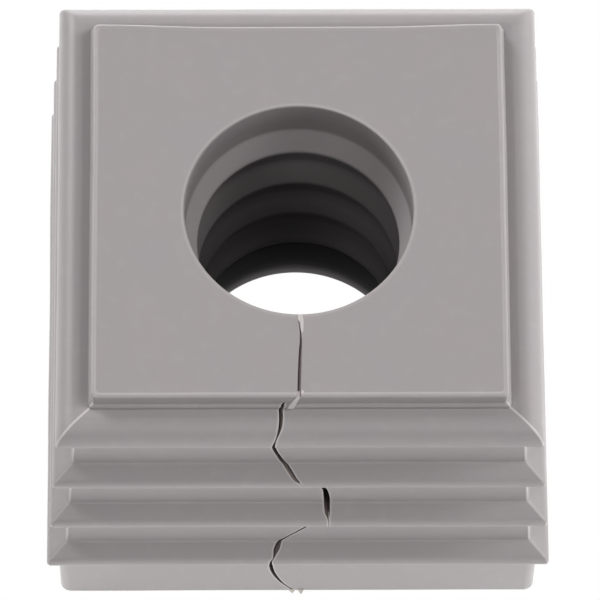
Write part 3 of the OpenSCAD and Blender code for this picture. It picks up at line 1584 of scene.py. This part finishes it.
@dataclass
class LightTable:
    """White table that glows round the part; the camera sees it as plain white. Lengths are in metres.

    Attributes:
        size: Width of the table.
        drop: How far it lies below the part's foot.
        foot: Half-width of the square under the part, which is open round the bore.
        near: Radius of the glowing disc round the part.
        glow: Strength of that glow.
        bore: Radius of the bore's lower mouth, inside which a ring glows.
        ring: Width of that ring.
        under: Strength of its glow.
        shine: Strength of the far table in reflections.
        whiteness: Share of the light that the table throws back.
    """

    size: float = 3.0
    drop: float = 0.00002
    foot: float = 0.0105
    near: float = 0.03
    glow: float = 0.71
    bore: float = 0.00495
    ring: float = 0.0007
    under: float = 0.65
    shine: float = 1.0
    # whiteness: Share of the light that the table throws back outside the part's foot; under it the table
    # is black, a painted shadow.
    whiteness: float = 0.9

    def strength(self, wiring: Wiring, outside: Socket, far: Socket, mirrored: Socket) -> Socket:
        """Add up the table's glow.

        Args:
            wiring: Wiring of the table's material.
            outside: Whether a place is outside the part's foot.
            far: Distance from the middle.
            mirrored: Whether the place is seen in a reflection.

        Returns:
            The strength of the glow.
        """
        near = wiring.sum_of("LESS_THAN", far, self.near)
        round_part = wiring.sum_of("MULTIPLY", wiring.sum_of("MULTIPLY", outside, near), self.glow)
        off_ring = wiring.sum_of(
            "ABSOLUTE", wiring.sum_of("SUBTRACT", far, self.bore - self.ring / 2)
        )
        in_bore = wiring.sum_of("LESS_THAN", off_ring, self.ring / 2)
        inside = wiring.sum_of("MULTIPLY", in_bore, self.under)
        distant = wiring.sum_of("GREATER_THAN", far, self.near)
        shine = wiring.sum_of("MULTIPLY", wiring.sum_of("MULTIPLY", distant, mirrored), self.shine)
        return wiring.sum_of("ADD", wiring.sum_of("ADD", round_part, inside), shine)

    def material(self) -> bpy.types.Material:
        """Make the table's material.

        Returns:
            The material.
        """
        material = bpy.data.materials.new("white_table")
        material.use_nodes = True
        wiring = Wiring(material.node_tree)
        material.node_tree.nodes.clear()
        path = wiring.add("LightPath").outputs
        where = wiring.add("TexCoord").outputs["Object"]
        axes = wiring.add("SeparateXYZ", {0: where}).outputs
        far = wiring.length(where)
        across = wiring.sum_of("ABSOLUTE", axes["X"])
        along = wiring.sum_of("ABSOLUTE", axes["Y"])
        outside = wiring.sum_of("GREATER_THAN", wiring.sum_of("MAXIMUM", across, along), self.foot)
        off_bore = wiring.sum_of("GREATER_THAN", far, self.bore)
        covered = wiring.sum_of("GREATER_THAN", off_bore, outside)
        # Black under the part's foot: a painted shadow, so that no light bounces up into the bore.
        matte = wiring.add("BsdfDiffuse", {"Color": wiring.sum_of("MULTIPLY", outside, self.whiteness)})
        strength = self.strength(wiring, outside, far, path["Is Glossy Ray"])
        glow = wiring.add("Emission", {"Strength": strength})
        lit = wiring.add("AddShader", {0: matte.outputs[0], 1: glow.outputs[0]})
        clear = wiring.add("BsdfTransparent")
        from_below = wiring.add("NewGeometry").outputs["Backfacing"]
        seen = wiring.mixed(from_below, wiring.add("Emission"), clear)
        given = wiring.mixed(path["Is Camera Ray"], lit, seen)
        surface = wiring.mixed(covered, given, clear)
        wiring.add("OutputMaterial", {"Surface": surface.outputs[0]})
        return material

    def build(self) -> bpy.types.Object:
        """Lay the table.

        Returns:
            The table.
        """
        bpy.ops.object.select_all(action="DESELECT")
        bpy.ops.mesh.primitive_plane_add(size=self.size, location=(0, 0, -self.drop))
        table = bpy.context.active_object
        table.name = "table"
        table.data.materials.append(self.material())
        return table


@dataclass(frozen=True)
class SoftLight:
    """One soft light, pointed at the part.

    Attributes:
        round_deg: Degrees round from the front, to the right.
        above_deg: Degrees above the table.
        watts: Power.
        size: Width in metres.
        distance: Distance from the part in metres.
    """

    round_deg: float
    above_deg: float
    watts: float
    size: float = 0.2
    distance: float = 0.5

    def build(self) -> bpy.types.Object:
        """Hang the light.

        Returns:
            The light.
        """
        towards = heading(self.round_deg, self.above_deg)
        lamp = bpy.data.lights.new(f"soft_{self.round_deg:.0f}_{self.above_deg:.0f}", "AREA")
        lamp.shape = "SQUARE"
        lamp.size = self.size
        lamp.energy = self.watts
        light = bpy.data.objects.new(lamp.name, lamp)
        bpy.context.collection.objects.link(light)
        light.location = towards * self.distance
        light.rotation_mode = "QUATERNION"
        light.rotation_quaternion = towards.to_track_quat("Z", "Y")
        return light


@dataclass(frozen=True)
class PhotoCamera:
    """The camera at the photograph's angle.

    Attributes:
        above_deg: Degrees above the table.
        turn_deg: Degrees round from the front, to the right.
        roll_deg: Degrees of roll.
        distance: Distance from its aim, in millimetres.
        aim_right: How far it aims to the right of the top face's middle, in millimetres.
        aim_up: How far it aims above that middle in the picture, in millimetres.
        lens: Focal length in millimetres.
        sensor: Width of the sensor in millimetres.
        nearest: Nearest distance that it sees, in metres.
        farthest: Farthest distance that it sees, in metres.
    """

    above_deg: float = 65.377
    turn_deg: float = -1.427
    roll_deg: float = 1.161
    distance: float = 285.806
    aim_right: float = 0.047
    aim_up: float = -3.911
    lens: float = 398.8
    sensor: float = 36.0
    nearest: float = 0.01
    farthest: float = 10.0

    def build(self, top: float) -> bpy.types.Object:
        """Set the camera up and make it the scene's own.

        Args:
            top: Height of the part's top face, in metres.

        Returns:
            The camera.
        """
        turn, roll = math.radians(self.turn_deg), math.radians(self.roll_deg)
        back = heading(self.turn_deg, self.above_deg)
        level_right = Vector((math.cos(turn), math.sin(turn), 0.0))
        level_up = back.cross(level_right)
        right = level_right * math.cos(roll) + level_up * math.sin(roll)
        up = level_up * math.cos(roll) - level_right * math.sin(roll)
        lens = bpy.data.cameras.new("camera")
        lens.lens = self.lens
        lens.sensor_width = self.sensor
        lens.clip_start = self.nearest
        lens.clip_end = self.farthest
        camera = bpy.data.objects.new("camera", lens)
        bpy.context.collection.objects.link(camera)
        turned = Matrix((right, up, back)).transposed().to_4x4()
        aim = Vector((0, 0, top)) + right * (self.aim_right * MM) + up * (self.aim_up * MM)
        camera.matrix_world = Matrix.Translation(aim + back * (self.distance * MM)) @ turned
        bpy.context.scene.camera = camera
        return camera


@dataclass
class Studio:
    """White table, soft lights and the camera at the photograph's angle.

    Attributes:
        lights: The soft lights.
        ambient: Strength of the light from all round.
        shine: Strength of the white walls low down in reflections.
        wall_fade: Height from which those walls fade, as the sine of the angle above the table.
        wall_top: Height at which they end, as such a sine.
    """

    lights: list[SoftLight] = field(default_factory=lambda: [
        SoftLight(45.0, 50.0, 0.47),
        SoftLight(90.0, 35.0, 1.15),
        SoftLight(90.0, 50.0, 0.42),
        SoftLight(135.0, 35.0, 0.13),
        SoftLight(135.0, 6.0, 0.8),
        SoftLight(180.0, 6.0, 0.8),
        SoftLight(225.0, 35.0, 1.47),
        SoftLight(315.0, 50.0, 0.75),
    ])
    ambient: float = 0.01
    shine: float = 1.5
    wall_fade: float = 0.195
    wall_top: float = 0.65

    def surroundings(self) -> None:
        """Make the room white for the camera and dim for the light it gives."""
        world = bpy.data.worlds.new("white_room")
        bpy.context.scene.world = world
        world.use_nodes = True
        wiring = Wiring(world.node_tree)
        world.node_tree.nodes.clear()
        path = wiring.add("LightPath").outputs
        axes = wiring.add("SeparateXYZ", {0: wiring.add("TexCoord").outputs["Generated"]}).outputs
        walls = wiring.ranged(
            axes["Z"], self.wall_fade, self.wall_top, self.shine, 0.0, "SMOOTHSTEP"
        )
        strength = wiring.add(
            "Math", {0: walls, 1: path["Is Glossy Ray"], 2: self.ambient}, operation="MULTIPLY_ADD"
        )
        given = wiring.add("Background", {"Color": WHITE, "Strength": strength.outputs[0]})
        seen = wiring.add("Background", {"Color": WHITE})
        room = wiring.mixed(path["Is Camera Ray"], given, seen)
        wiring.add("OutputWorld", {"Surface": room.outputs[0]})

    def build(self, top: float) -> None:
        """Lay out the table, room, lights and camera.

        Args:
            top: Height of the part's top face, in metres.
        """
        LightTable().build()
        self.surroundings()
        for light in self.lights:
            light.build()
        PhotoCamera().build(top)
        bpy.context.scene.view_settings.view_transform = "Standard"


def main() -> None:
    """Build the grommet and its studio, and report each piece."""
    logging.basicConfig(level=logging.INFO, format="%(name)s: %(message)s")
    _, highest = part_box("grommet")
    high = Vector(highest)
    bore = next(mount for mount in frame["record"]["mounts"] if mount["name"] == "cable_bore")
    grommet = Grommet(high.z / MM, high.x / MM, bore["dims"]["r_mm"])
    piece = grommet.finish(grommet.model())
    LOG.info("%s: %d faces", piece.name, len(piece.data.polygons))
    Studio().build(high.z)
    LOG.info("studio is set")


if __name__ == "__main__":
    main()
